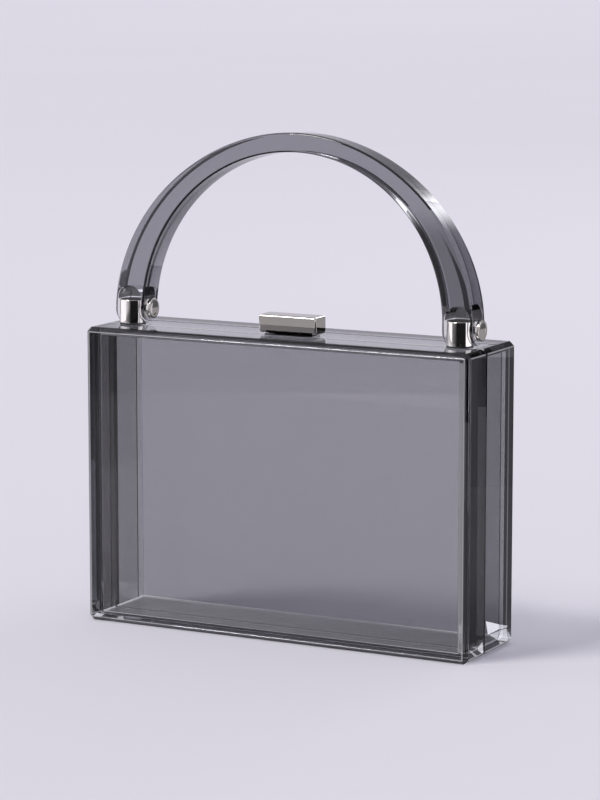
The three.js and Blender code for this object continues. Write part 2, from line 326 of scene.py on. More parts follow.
class ClutchFittings(bpy.types.PropertyGroup):
    """Posts, pins, washers and clasp"""

    metal: colour("Metal", "Polished warm silver", (0.68, 0.665, 0.615))
    # Painted shade: the plates under the bar are near black
    plate_shade: colour("Plates", "Colour of the plates under the bar", (0.035, 0.034, 0.032))
    rubber: colour("Washer", "Black rubber of the washers", (0.012, 0.012, 0.013))
    post_edge: length("Post edge", "Rounding at a post's top", 0.5 * MM)
    shaft: length("Pin shaft", "Radius of a pin's shaft", 1.4 * MM)
    head: length("Pin head", "Thickness of a pin's head", 1.8 * MM)
    head_edge: length("Head edge", "Rounding of a pin head's rim", 0.4 * MM)
    dish: length("Dish", "Depth of the polished hollow in a pin's head", 0.35 * MM)
    clasp_edge: length("Clasp edge", "Rounding of the bar's edges", 0.15 * MM)
    bar_step: share("Bar step", "Height of the bar's upright lower front, as a share of the bar", 0.42)
    bar_lean: length("Bar lean", "How far the bar's upper front leans out", 0.4 * MM)


class ClutchStage(bpy.types.PropertyGroup):
    """Studio round the bag"""

    paper: colour("Paper", "Pale floor and backdrop", (0.66, 0.647, 0.69))
    floor_radius: length("Floor", "Flat floor round the bag", 6.0)
    sweep_radius: length("Sweep", "Curve from the floor up to the backdrop", 3.0)
    sweep_turn: turn("Sweep turn", "How far the paper curves up", 45)
    sky: colour("Sky", "Light from over the backdrop", (0.76, 0.74, 0.83))
    sky_strength: share("Sky strength", "Strength of the light from all round", 0.78, 10.0)
    key_azimuth: turn("Key azimuth", "Where the key light stands, from the front", -40)
    key_rise: turn("Key height", "How high the key light stands", 58)
    key_size: turn("Key size", "How wide the key light looks", 18)
    key_strength: share("Key strength", "Light of the key on a face turned to it", 1.88, 20.0)
    azimuth: turn("Azimuth", "Camera's turn to the bag's right", 27.835)
    tilt: turn("Tilt", "Camera's look down", 8.988)
    distance: length("Distance", "Camera's level distance", 1.455516)
    sideways: length("Sideways", "Camera's shift to its right", 1.319 * MM)
    height: length("Height", "Camera's height over the floor", 0.340898)
    lens: share("Lens", "Focal length in mm, for a 36 mm tall sensor", 141.837, 1000.0)


class ClutchSettings(bpy.types.PropertyGroup):
    """All that a user may change"""

    acrylic: PointerProperty(type=ClutchAcrylic)
    handle: PointerProperty(type=ClutchHandle)
    fittings: PointerProperty(type=ClutchFittings)
    stage: PointerProperty(type=ClutchStage)


class Shade:
    """A socket of a material's node tree, for use in Python expressions"""

    def __init__(self, tree, socket):
        self.tree = tree
        self.socket = socket

    @staticmethod
    def node(tree, kind, settings=None, inputs=None, output=0):
        """Add a node, set it up, fill its sockets, and give back one of its outputs"""
        made = tree.nodes.new(kind)
        for name, value in (settings or {}).items():
            setattr(made, name, value)
        for name, value in (inputs or {}).items():
            if isinstance(value, Shade):
                value.into(made.inputs[name])
            else:
                made.inputs[name].default_value = value
        return Shade(tree, made.outputs[output])

    def maths(self, operation, first, second=0.0):
        """One step of arithmetic"""
        return Shade.node(self.tree, "ShaderNodeMath", {"operation": operation}, {0: first, 1: second})

    def __add__(self, other):
        return self.maths("ADD", self, other)

    def __radd__(self, other):
        return self.maths("ADD", other, self)

    def __sub__(self, other):
        return self.maths("SUBTRACT", self, other)

    def __rsub__(self, other):
        return self.maths("SUBTRACT", other, self)

    def __mul__(self, other):
        return self.maths("MULTIPLY", self, other)

    def __rmul__(self, other):
        return self.maths("MULTIPLY", other, self)

    def __pow__(self, other):
        return self.maths("POWER", self, other)

    def __abs__(self):
        return self.maths("ABSOLUTE", self)

    def __gt__(self, other):
        return self.maths("GREATER_THAN", self, other)

    def __lt__(self, other):
        return self.maths("LESS_THAN", self, other)

    def most(self, other):
        """The larger of two values, or either of two masks"""
        return self.maths("MAXIMUM", self, other)

    def within(self, low, high):
        """A mask of where the value lies between two others"""
        return (self > low) * (self < high)

    def ramp(self, low, high, kind="SMOOTHSTEP"):
        """A rise from nought to one, or a fall where the first bound is the higher one"""
        sockets = {"Value": self, "From Min": low, "From Max": high}
        return Shade.node(self.tree, "ShaderNodeMapRange", {"interpolation_type": kind}, sockets)

    def into(self, socket):
        """Feed a node's input"""
        self.tree.links.new(self.socket, socket)

    def part(self, axis):
        """One component of a vector"""
        return Shade.node(self.tree, "ShaderNodeSeparateXYZ", inputs={"Vector": self}, output=axis)

    def between(self, first, second):
        """A colour between two, with this value as the share of the second"""
        sockets = {"Factor": self, 6: opaque(first), 7: opaque(second)}
        return Shade.node(self.tree, "ShaderNodeMix", {"data_type": "RGBA"}, sockets, output=2)


def opaque(rgb):
    """A colour with full alpha, as a node's socket takes it, or a socket as it is"""
    if isinstance(rgb, Shade):
        return rgb
    return (*rgb, 1.0)


def scaled(rgb, factor):
    """A colour made darker or paler"""
    return tuple(factor * value for value in rgb)


def layered(ground, layers):
    """A colour with others laid over it in turn, each where its mask says"""
    for mask, rgb in layers:
        ground = mask.between(ground, rgb)
    return ground


def noise(tree, place, scale, detail=3.0, roughness=0.5):
    """Soft grain of about 1 / scale metres, from nought to one"""
    sockets = {"Vector": place, "Scale": scale, "Detail": detail, "Roughness": roughness}
    return Shade.node(tree, "ShaderNodeTexNoise", inputs=sockets)


def stretched(tree, place, scale):
    """Coordinates that are scaled by their own amount along each axis"""
    return Shade.node(tree, "ShaderNodeVectorMath", {"operation": "MULTIPLY"}, {0: place, 1: scale})


def relief(tree, height, strength, depth):
    """A normal that is tipped by a height in metres"""
    sockets = {"Strength": strength, "Distance": depth, "Height": height}
    return Shade.node(tree, "ShaderNodeBump", inputs=sockets)


def new_material(name):
    """An empty node material with its output and its object coordinates"""
    material = bpy.data.materials.new(name)
    material.use_nodes = True
    material.node_tree.nodes.clear()
    tree = material.node_tree
    output = tree.nodes.new("ShaderNodeOutputMaterial")
    place = Shade.node(tree, "ShaderNodeTexCoord", output="Object")
    return material, tree, output, place


def principled(tree, sockets):
    """A principled surface"""
    return Shade.node(tree, "ShaderNodeBsdfPrincipled", inputs=sockets)


def facets(along, up, shapes):
    """Straight-sided facets of light, as where the thick walls meet the floor"""
    u = along * (1 / MM)
    v = up * (1 / MM)
    light = 0.0
    for corners, brightness in shapes:
        inside = brightness
        for (u0, v0), (u1, v1) in zip(corners, corners[1:] + corners[:1]):
            across = u * (v1 - v0) + v * (u0 - u1)
            inside = inside * (across > u0 * (v1 - v0) + v0 * (u0 - u1))
        light = light + inside
    return light


class ShellFaces:
    """Where a point of a half shell lies and how it faces, mostly as masks of nought or one"""

    def __init__(self, tree, place, looks):
        facing = Shade.node(tree, "ShaderNodeTexCoord", output="Normal")
        along, across, up = (abs(facing.part(axis)) for axis in "XYZ")
        x, y, z = (place.part(axis) for axis in "XYZ")
        self.along, self.across, self.up = along, across, up
        self.x, self.y, self.z = x, y, z
        off_middle = abs(x)
        self.right = x > 0
        self.to_end = off_middle * (1 / SHELL_HIGH.x)
        self.off_seam = abs(y - SEAM_Y)
        largest = along.most(across).most(up)
        reach = looks.chamfer_reach
        outer = (off_middle > SHELL_HIGH.x - reach).most(abs(y) > SHELL_HIGH.y - reach)
        outer = outer.most(z > SHELL_HIGH.z - reach).most(z < reach)
        self.high = z > SHELL_HIGH.z - 2 * looks.wall
        self.low = z < 2 * looks.wall
        self.level = up > TIPPED
        self.bevel = (self.off_seam < SEAM_REACH) * (across < SEAM_FLAT)
        self.panel = (across > FLAT) * (1 - outer.most(self.off_seam < 2 * looks.wall))
        self.front_face = (across > FLAT) * (y < SHELL_LOW.y + looks.wall / 2)
        self.top_face = (up > FLAT) * (z > SHELL_HIGH.z - reach)
        self.floor = (up > FLAT) * self.low * (1 - outer)
        wall_middle = SHELL_HIGH.x - looks.wall / 2
        self.end_wall = (along > FLAT) * (off_middle < wall_middle)
        self.end_face = (along > FLAT) * (off_middle > wall_middle)
        # Where the painted shade next to the back panel lies
        self.back_corner_shade = self.end_wall * (y > BACK_CORNER[0])
        rounded = (largest < FLAT) * (1 - (self.off_seam < 2 * SEAM_REACH))
        self.fillet = rounded * (1 - outer)
        self.chamfered = (largest < HALF_TURNED) * outer
        self.outer_edge = rounded * outer * (largest > HALF_TURNED)


def shell_base(at, looks, end_wall_shades):
    """Colours of a half shell's faces: the panels' smoke, painted shade on the end walls, left and right,
    in the corners and on the chamfers, and the dark seam with painted shade lines
    """
    # The dark seam joint, with painted shade lines in the top inner corners, by the back corners and on
    # the top's rounded outer edges
    seam_and_shade_lines = at.bevel.most(at.end_wall * (at.y > SEAM_Y) * (at.off_seam < SEAM_LINE))
    seam_and_shade_lines = seam_and_shade_lines.most(at.fillet * at.level * at.high)
    seam_and_shade_lines = seam_and_shade_lines.most(at.back_corner_shade * (at.y < BACK_CORNER[1]))
    seam_and_shade_lines = seam_and_shade_lines.most(at.outer_edge * (at.up > at.along.most(at.across)) * at.high)
    # The panels take the smoke's tint; the later layers are painted shade, with the dark seam joint in
    # the last
    layers = (
        (at.panel, looks.panel),
        (at.end_wall, at.right.between(*end_wall_shades)),
        (at.back_corner_shade, looks.back_corner_shade),
        # Painted shade in the upright inner corners
        (at.fillet * (1 - at.level) * (at.y < 0), looks.corner),
        # Painted shade on the chamfers
        (at.chamfered, looks.chamfer_shade),
        (at.chamfered * at.high * at.level, looks.top_chamfer_shade),
        (seam_and_shade_lines, looks.seam),
    )
    return layered(CLEAR, layers)


def shell_glow(at, looks):
    """Painted light, as emission, at a half shell's edges, its floor and its ends"""
    back_edge = (at.y > 0) * (at.along > at.up)
    upright_edge = (at.across < TIPPED) * (at.along > at.up)
    bright_edge = (at.across > at.along.most(at.up)).most(upright_edge).most(back_edge)
    to_corner = FLOOR_LINE_LEAST + (1 - FLOOR_LINE_LEAST) * at.to_end * at.to_end
    to_left = SHEEN_MIDDLE - SHEEN_FALL / SHELL_HIGH.x * at.x
    by_side = looks.left_spark + (1 - looks.left_spark) * at.right
    end_light = at.end_face * by_side * facets(at.y, at.z, END_FACETS)
    front_light = at.front_face * facets(at.x, at.z, FRONT_FACETS)
    layers = (
        ((at.end_face * (at.y > BACK_CORNER[1])).most(at.chamfered * back_edge), looks.back_glow),
        (at.end_face * at.y.within(*BACK_LINE), looks.back_line),
        (at.floor * to_left, looks.floor_sheen),
        (at.outer_edge * bright_edge, looks.edge_glow),
        (at.fillet * at.level * at.low * to_corner, looks.floor_glow),
        (at.bevel * (at.z > SHELL_HIGH.z - SEAM_REACH), looks.seam_glow),
        (at.front_face * at.x.within(*PANEL_END) * at.z.within(*PANEL_END_RISE), looks.panel_end),
        (end_light + front_light, looks.spark),
    )
    return layered(NO_LIGHT, layers)


def shell_paint(tree, place, looks, end_wall_shades):
    """Smoky colour with painted shade, painted light and a painted shade line of a half shell"""
    at = ShellFaces(tree, place, looks)
    # Painted shade: a dark line across the top face
    line = at.top_face * at.y.within(*TOP_LINE) * looks.top_shade_line
    return shell_base(at, looks, end_wall_shades), shell_glow(at, looks), line


def grip_paint(tree, place, looks, handle):
    """Painted shade, a painted highlight and painted dark lines of the handle"""
    facing = Shade.node(tree, "ShaderNodeTexCoord", output="Normal")
    along, across = (facing.part(axis) for axis in "XY")
    x, y, z = (place.part(axis) for axis in "XYZ")
    off_middle = abs(x)
    right = x > 0
    inward = along * x < 0
    sideways = abs(across) < EDGE_FACING[0]
    outward = right * sideways * (1 - inward)
    right_front = right * (across < -EDGE_FACING[1])

    # Where the pockets over the posts lie, for their painted shade
    low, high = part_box("post_right")
    gap = POCKET_ROOM * handle.clearance
    slot_reach = (high.x - low.x) / 2 + gap
    slot_top = high.z + handle.dome + gap
    slot_depth = handle.depth / 2 - handle.edge
    pocket = abs(off_middle - (low.x + high.x) / 2) < slot_reach
    pocket = pocket * z.within(high.z, slot_top) * y.within(SWING.y - slot_depth, SWING.y + slot_depth)

    above_feet = z.ramp(slot_top, slot_top + handle.inner_rise / 2, "LINEAR")
    edge = abs(across).within(*EDGE_FACING) * (z > SWING.z)
    lit_edge = right * (across < 0) * (along > 0) * (z < SHINE_RISE[1])
    # Painted shade under the arch, on the right leg's front, along most rounded edges and in the pockets
    # over the posts
    layers = (
        (above_feet * inward * sideways, looks.grip_inside_shade),
        (right_front * (1 - z.ramp(*FRONT_SHADE)), looks.grip_front_shade),
        (edge * (1 - lit_edge), (along < 0).between(looks.grip_edge_shade, looks.far_edge_shade)),
        (pocket, looks.fork),
    )

    # Painted highlight on the right shoulder's outer face
    rise = z.ramp(*SHINE_RISE)
    shine = outward * rise * rise * z.ramp(*SHINE_FALL)
    # Painted shade: a dark stripe down the right leg's front, and shade over the right shoulder's outer
    # face
    wide = off_middle * (1 / HANDLE_HIGH.x)
    tall = (z - SWING.z) * (1 / handle.outer_rise)
    rim = wide ** handle.outer_power + tall ** handle.outer_power
    stripe_end = STRIPE[1] - STRIPE_NARROWING * z.ramp(*STRIPE_RISE)
    stripe = right_front * rim.within(STRIPE[0], stripe_end) * (1 - z.ramp(*STRIPE_FADE))
    shoulder = outward * z.ramp(*SHOULDER) * off_middle.ramp(*SHOULDER_REACH)
    line = (stripe * looks.grip_stripe_shade).most(shoulder * looks.grip_shade)
    return layered(CLEAR, layers), shine.between(NO_LIGHT, looks.grip_shine), line


def smoked_acrylic(name, looks, depth, paint=None):
    """Clear acrylic that darkens with its thickness, with faint smears of polish and, where a paint is
    given, painted light and shade
    """
    material, tree, output, place = new_material(name)
    smear = noise(tree, place, scale=38.0, detail=4.0, roughness=0.6)
    grain = noise(tree, place, scale=260.0, detail=2.0)
    base, glow, line = paint(tree, place) if paint else (CLEAR, NO_LIGHT, 0.0)
    sockets = {
        "Base Color": opaque(base),
        "Roughness": POLISH * smear * grain,
        "IOR": looks.ior,
        "Transmission Weight": 1.0,
        "Emission Color": opaque(glow),
        "Emission Strength": 1.0,
    }
    clear = principled(tree, sockets)
    # A dark surface, mixed in where the paint draws painted shade lines
    dark = principled(tree, {"Base Color": opaque(PAINTED_SHADE_COLOUR), **PAINTED_SHADE_GLOSS})
    lined = Shade.node(tree, "ShaderNodeMixShader", inputs={0: line, 1: clear, 2: dark})
    through = Shade.node(tree, "ShaderNodeBsdfTransparent", inputs={"Color": opaque(SHADOW_TINT)})
    shadow = Shade.node(tree, "ShaderNodeLightPath", output="Is Shadow Ray")
    surface = Shade.node(tree, "ShaderNodeMixShader", inputs={0: shadow, 1: lined, 2: through})
    absorbed = {"Color": opaque(looks.smoke), "Density": depth}
    smoke = Shade.node(tree, "ShaderNodeVolumeAbsorption", inputs=absorbed)
    surface.into(output.inputs["Surface"])
    smoke.into(output.inputs["Volume"])
    return material


def polished_metal(name, rgb):
    """Mirror-polished metal with hair-fine buffing marks"""
    material, tree, output, place = new_material(name)
    cloud = noise(tree, place, scale=120.0, detail=2.0)
    marks = noise(tree, stretched(tree, place, BUFFING), scale=1.0)
    sockets = {
        "Base Color": cloud.between(rgb, scaled(rgb, METAL_SHADE)),
        "Metallic": 1.0,
        "Roughness": METAL_ROUGHNESS[0] + METAL_ROUGHNESS[1] * cloud * marks,
        "Normal": relief(tree, marks, strength=0.012, depth=0.02 * MM),
    }
    principled(tree, sockets).into(output.inputs["Surface"])
    return material


def black_rubber(name, rgb):
    """Matt black rubber with a fine moulded grain"""
    material, tree, output, place = new_material(name)
    grain = noise(tree, place, scale=2500.0)
    sockets = {
        "Base Color": grain.between(rgb, scaled(rgb, RUBBER_SHADE)),
        "Roughness": RUBBER_ROUGHNESS[0] + RUBBER_ROUGHNESS[1] * grain,
        "Normal": relief(tree, grain, strength=0.3, depth=0.05 * MM),
    }
    principled(tree, sockets).into(output.inputs["Surface"])
    return material


def studio_paper(name, rgb):
    """Plain pale backdrop paper with a faint tooth"""
    material, tree, output, place = new_material(name)
    cloud = noise(tree, place, scale=1.3, detail=2.0)
    tooth = noise(tree, place, scale=900.0, detail=2.0)
    sockets = {
        "Base Color": cloud.between(rgb, scaled(rgb, PAPER_SHADE)),
        "Roughness": PAPER_ROUGHNESS[0] + PAPER_ROUGHNESS[1] * tooth,
        "Specular IOR Level": 0.15,
        "Normal": relief(tree, tooth, strength=0.05, depth=0.05 * MM),
    }
    principled(tree, sockets).into(output.inputs["Surface"])
    return material


def card(name, ends, reach, glow):
    """Studio card that shades from left to right, seen in gloss but not straight through the acrylic"""
    material, tree, output, place = new_material(name)
    weave = noise(tree, place, scale=300.0, detail=2.0)
    shade = ((place.part("X") - reach[0]) * (1 / (reach[1] - reach[0]))).between(*ends)
    sockets = {
        "Base Color": shade,
        "Roughness": CARD_ROUGHNESS[0] + CARD_ROUGHNESS[1] * weave,
        "Emission Color": shade,
        "Emission Strength": glow,
    }
    clear = Shade.node(tree, "ShaderNodeBsdfTransparent")
    bounced = Shade.node(tree, "ShaderNodeLightPath", output="Glossy Depth") > 0
    sides = {0: bounced, 1: clear, 2: principled(tree, sockets)}
    surface = Shade.node(tree, "ShaderNodeMixShader", inputs=sides)
    surface.into(output.inputs["Surface"])
    return material


def add_object(name, bm):
    """Turn a bmesh into an object of the scene"""
    mesh = bpy.data.meshes.new(name)
    bm.to_mesh(mesh)
    bm.free()
    made = bpy.data.objects.new(name, mesh)
    bpy.context.scene.collection.objects.link(made)
    return made


def stand_in(made, node, material):
    """Let a piece stand for a CAD node, on the node's body and with its finish"""
    made.data.materials.clear()
    made.data.materials.append(material)
    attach(made, frame["nodes"][node]["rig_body"])
    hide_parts(node)


def node_form(node):
    """A CAD node's own form, welded and with its flat faces whole"""
    bm = bmesh.new()
    bm.from_mesh(frame["nodes"][node].data)
    bmesh.ops.remove_doubles(bm, verts=bm.verts, dist=WELD)
    bmesh.ops.dissolve_limit(bm, angle_limit=LEVEL_ANGLE, verts=bm.verts, edges=bm.edges)
    bmesh.ops.recalc_face_normals(bm, faces=bm.faces)
    return bm


def soften(bm, width, chosen):
    """Round off those of a form's edges that are chosen by their middle and their length"""
    edges = []
    for edge in bm.edges:
        if edge.calc_face_angle(0) < EDGE_ANGLE:
            continue
        middle = (edge.verts[0].co + edge.verts[1].co) / 2
        if chosen(middle, edge.calc_length()):
            edges.append(edge)
    bmesh.ops.bevel(bm, geom=edges, offset=width, segments=SOFT_STEPS, profile=0.5, affect="EDGES")


def smooth_round(made):
    """Smooth shading but for edges sharper than an angle, with flat faces left flat"""
    made.data.shade_smooth()
    made.data.set_sharp_from_angle(angle=SHARP_ANGLE)
    even = made.modifiers.new("flat_faces", "WEIGHTED_NORMAL")
    even.weight = 100
    even.keep_sharp = True


def arc(centre, radius, start, end, steps):
    """Points [along, up] on an arc, its angles in quarter turns"""
    points = []
    for step in range(steps + 1):
        angle = math.pi / 2 * (start + (end - start) * step / steps)
        points.append((centre[0] + radius * math.cos(angle), centre[1] + radius * math.sin(angle)))
    return points


def turned(profile, steps):
    """A closed body of revolution about Z from [radius, height] points, from the lowest up"""
    bm = bmesh.new()
    rings = []
    for radius, height in profile:
        if radius < WELD:
            rings.append([bm.verts.new((0, 0, height))] * steps)
            continue
        ring = []
        for step in range(steps):
            angle = 2 * math.pi * step / steps
            ring.append(bm.verts.new((radius * math.cos(angle), radius * math.sin(angle), height)))
        rings.append(ring)
    for low, high in zip(rings, rings[1:]):
        for step in range(steps):
            after = (step + 1) % steps
            corners = [low[step], low[after], high[after], high[step]]
            bm.faces.new(list(dict.fromkeys(corners)))
    bmesh.ops.recalc_face_normals(bm, faces=bm.faces)
    return bm


def bridged(rings):
    """A closed body through rings of points, with flat ends"""
    bm = bmesh.new()
    rows = [[bm.verts.new(point) for point in ring] for ring in rings]
    count = len(rows[0])
    for row, following in zip(rows, rows[1:]):
        for i in range(count):
            j = (i + 1) % count
            bm.faces.new((row[i], row[j], following[j], following[i]))
    bm.faces.new(reversed(rows[0]))
    bm.faces.new(rows[-1])
    bmesh.ops.recalc_face_normals(bm, faces=bm.faces)
    return bm


def cut_away(made, bm):
    """Take a tool's form out of a piece"""
    tool = add_object("tool", bm)
    cut = made.modifiers.new("cut", "BOOLEAN")
    cut.operation = "DIFFERENCE"
    cut.solver = "EXACT"
    cut.object = tool
    graph = bpy.context.evaluated_depsgraph_get()
    cleared = bpy.data.meshes.new_from_object(made.evaluated_get(graph))
    made.modifiers.clear()
    old = made.data
    made.data = cleared
    bpy.data.meshes.remove(old)
    bpy.data.objects.remove(tool)


def rod_tool(radius, low_x, high_x, y, z):
    """A plain rod along X to cut with"""
    bm = turned([(0, low_x), (radius, low_x), (radius, high_x), (0, high_x)], HOLE_STEPS)
    bm.transform(Matrix.Translation((0, y, z)) @ Matrix.Rotation(math.pi / 2, 4, "Y"))
    return bm


def arch_point(reach, rise, power, angle):
    """A point of an arch over the pins: angle 0 is its right foot and pi its left one"""
    across = math.cos(angle)
    x = math.copysign(reach * abs(across) ** (2 / power), across)
    return Vector((x, SWING.y, SWING.z + rise * abs(math.sin(angle)) ** (2 / power)))


def grip_section(inner, outer, half_depth, edge):
    """One section of the handle: a rectangle from the inner to the outer arch with round corners"""
    width = (outer - inner).length
    out = (outer - inner) / width
    radius = min(edge, half_depth, width / 2)
    near, far = radius, width - radius
    side = half_depth - radius
    ring = []
    for quarter, (u, y) in enumerate(((far, side), (near, side), (near, -side), (far, -side))):
        for du, dy in arc((u, y), radius, quarter, quarter + 1, CORNER_STEPS):
            ring.append(inner + out * du + Vector((0, dy, 0)))
    return ring


def handle_sections(looks):
    """Sections of the upright grip from its right foot over the arch to its left foot"""
    reach = HANDLE_HIGH.x
    half_depth = looks.depth / 2
    feet = {}
    for name, side in SIDES.items():
        feet[name] = []
        for step in range(FOOT_STEPS):
            angle = FOOT_TURN * (1 - step / FOOT_STEPS)
            drop = Vector((0, 0, half_depth * math.sin(angle)))
            inner = Vector((side * looks.inner_reach, SWING.y, SWING.z)) - drop
            outer = Vector((side * reach, SWING.y, SWING.z)) - drop
            feet[name].append(grip_section(inner, outer, half_depth * math.cos(angle), looks.edge))
    arch = []
    for step in range(looks.steps + 1):
        angle = math.pi * step / looks.steps
        inner = arch_point(looks.inner_reach, looks.inner_rise, looks.inner_power, angle)
        outer = arch_point(reach, looks.outer_rise, looks.outer_power, angle)
        arch.append(grip_section(inner, outer, half_depth, looks.edge))
    return feet["right"] + arch + feet["left"][::-1]


def fork_tools(post_node, looks):
    """The domed pocket round a post, and the lower slot behind it that lets the post pass"""
    low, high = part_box(post_node)
    middle = (low + high) / 2
    half = (high.x - low.x) / 2 + looks.clearance
    foot = low.z - half
    shoulder = high.z + looks.clearance
    dome = [(-half, foot), (half, foot)]
    for x, z in arc((0, 0), half, 0, 2, DOME_STEPS):
        dome.append((x, shoulder + z * looks.dome / half))
    sill = SWING.z + high.y - SWING.y + looks.clearance
    plain = [(-half, foot), (half, foot), (half, sill), (-half, sill)]
    front = SWING.y - looks.depth
    rear = SWING.y + shoulder - SWING.z
    tools = []
    for outline, span in ((dome, (front, rear)), (plain, (SWING.y, SWING.y + looks.depth))):
        tools.append(bridged([[Vector((middle.x + x, y, z)) for x, z in outline] for y in span]))
    return tools


class CLUTCH_OT_shells(bpy.types.Operator):
    """Dress both half shells and the hinge rod in smoked acrylic with soft polished edges"""

    bl_idname = "clutch.shells"
    bl_label = "Acrylic box"

    def execute(self, context):
        looks = context.scene.clutch.acrylic
        # Painted shade of each shell's end walls, left and right
        end_wall_shades = {
            "front_shell": (looks.left_wall_shade, looks.right_wall_shade),
            "back_shell": (looks.back_wall_shade, looks.back_wall_shade),
        }
        for node, wall_shades in end_wall_shades.items():
            bm = node_form(node)
            soften(bm, looks.fillet, lambda middle, size: size > MIN_EDGE and self.inside(middle))
            soften(bm, looks.soft_edge, lambda middle, size: size > MIN_EDGE / 2 and self.outside(middle))
            material = smoked_acrylic(
                f"{node}_acrylic",
                looks,
                looks.box_depth,
                lambda tree, place, wall_shades=wall_shades: shell_paint(tree, place, looks, wall_shades),
            )
            stand_in(add_object(f"{node}_polished", bm), node, material)
        rod = add_object("hinge_rod_polished", node_form("hinge_rod"))
        clear = smoked_acrylic("hinge_rod_acrylic", looks, looks.box_depth)
        stand_in(rod, "hinge_rod", clear)
        smooth_round(rod)
        return {"FINISHED"}

    def inside(self, middle):
        """Whether an edge lies in the cavity, away from the seam"""
        if abs(middle.y - SEAM_Y) < SEAM_CLEAR:
            return False
        return not self.outside(middle)

    def outside(self, middle):
        """Whether an edge lies on the outside of the box, away from the seam"""
        if abs(middle.y - SEAM_Y) < SEAM_CLEAR:
            return False
        gaps = (
            SHELL_HIGH.x - abs(middle.x),
            SHELL_HIGH.y - abs(middle.y),
            SHELL_HIGH.z - middle.z,
            middle.z - SHELL_LOW.z,
        )
        return min(gaps) < SEAM_CLEAR


class CLUTCH_OT_handle(bpy.types.Operator):
    """Build the arched grip with rounded feet, fork slots and pin holes"""

    bl_idname = "clutch.handle"
    bl_label = "Arched handle"

    def execute(self, context):
        looks = context.scene.clutch.handle
        grip = add_object("handle_arch", bridged(handle_sections(looks)))
        pin_hole = context.scene.clutch.fittings.shaft + looks.clearance
        for name in SIDES:
            for tool in fork_tools(f"post_{name}", looks):
                cut_away(grip, tool)
        for name in SIDES:
            low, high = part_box(f"pin_{name}")
            cut_away(grip, rod_tool(pin_hole, low.x, high.x, SWING.y, SWING.z))
        to_pins = Matrix.Translation(SWING)
        grip.data.transform(to_pins @ Matrix.Rotation(-looks.lean, 4, "X") @ to_pins.inverted())
        acrylic = context.scene.clutch.acrylic
        material = smoked_acrylic(
            "handle_acrylic",
            acrylic,
            acrylic.handle_depth,
            lambda tree, place: grip_paint(tree, place, acrylic, looks),
        )
        stand_in(grip, "handle", material)
        smooth_round(grip)
        return {"FINISHED"}


class CLUTCH_OT_posts(bpy.types.Operator):
    """Turn the posts, the washers under them and the pins across them"""

    bl_idname = "clutch.posts"
    bl_label = "Posts and pins"

    def execute(self, context):
        looks = context.scene.clutch.fittings
        gap = context.scene.clutch.handle.clearance
        metal = polished_metal("polished_metal", looks.metal)
        rubber = black_rubber("black_rubber", looks.rubber)
        for name in SIDES:
            self.post(f"post_{name}", looks, gap, metal)
            self.pin(f"pin_{name}", looks, metal)
            self.washer(f"washer_{name}", f"post_{name}", rubber)
        return {"FINISHED"}

    def washer(self, node, post_node, rubber):
        """A full ring under a post, clear of the shells by a hair"""
        low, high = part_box(node)
        post_low, post_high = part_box(post_node)
        middle = (post_low + post_high) / 2
        radius = (high.x - low.x) / 2
        foot = low.z + WASHER_LIFT
        bm = turned([(0, foot), (radius, foot), (radius, high.z), (0, high.z)], ROUND_STEPS)
        bm.transform(Matrix.Translation((middle.x, middle.y, 0)))
        ring = add_object(f"{node}_ring", bm)
        stand_in(ring, node, rubber)
        smooth_round(ring)

    def post(self, node, looks, gap, metal):
        """A round post with a soft top and a hole for its pin"""
        low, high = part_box(node)
        middle = (low + high) / 2
        radius = (high.x - low.x) / 2
        edge = looks.post_edge
        foot = edge / 3
        profile = [(0, low.z)]
        profile += arc((radius - foot, low.z + foot), foot, -1, 0, steps=4)
        profile += arc((radius - edge, high.z - edge), edge, 0, 1, RIM_STEPS)
        profile.append((0, high.z))
        bm = turned(profile, ROUND_STEPS)
        bm.transform(Matrix.Translation((middle.x, middle.y, 0)))
        post = add_object(f"{node}_turned", bm)
        cut_away(post, rod_tool(looks.shaft + gap, low.x - edge, high.x + edge, SWING.y, SWING.z))
        stand_in(post, node, metal)
        smooth_round(post)

    def pin(self, node, looks, metal):
        """A pin along X with a dished head on its right and a flush end on its left"""
        low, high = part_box(node)
        radius = (high.z - low.z) / 2
        seat = high.x - looks.head
        edge = looks.head_edge
        foot = edge / 3
        rim = radius - edge
        hollow = DISH_SHARE * rim
        profile = [(0, low.x)]
        profile += arc((looks.shaft - foot, low.x + foot), foot, -1, 0, steps=3)
        profile.append((looks.shaft, seat))
        profile += arc((radius - foot, seat + foot), foot, -1, 0, steps=3)
        profile += arc((rim, high.x - edge), edge, 0, 1, RIM_STEPS)
        for step in range(1, DISH_STEPS + 1):
            across = 1 - step / DISH_STEPS
            profile.append((hollow * across, high.x - looks.dish * (1 - across ** 2)))
        bm = turned(profile, ROUND_STEPS)
        bm.transform(Matrix.Translation((0, SWING.y, SWING.z)) @ Matrix.Rotation(math.pi / 2, 4, "Y"))
        pin = add_object(f"{node}_turned", bm)
        stand_in(pin, node, metal)
        smooth_round(pin)


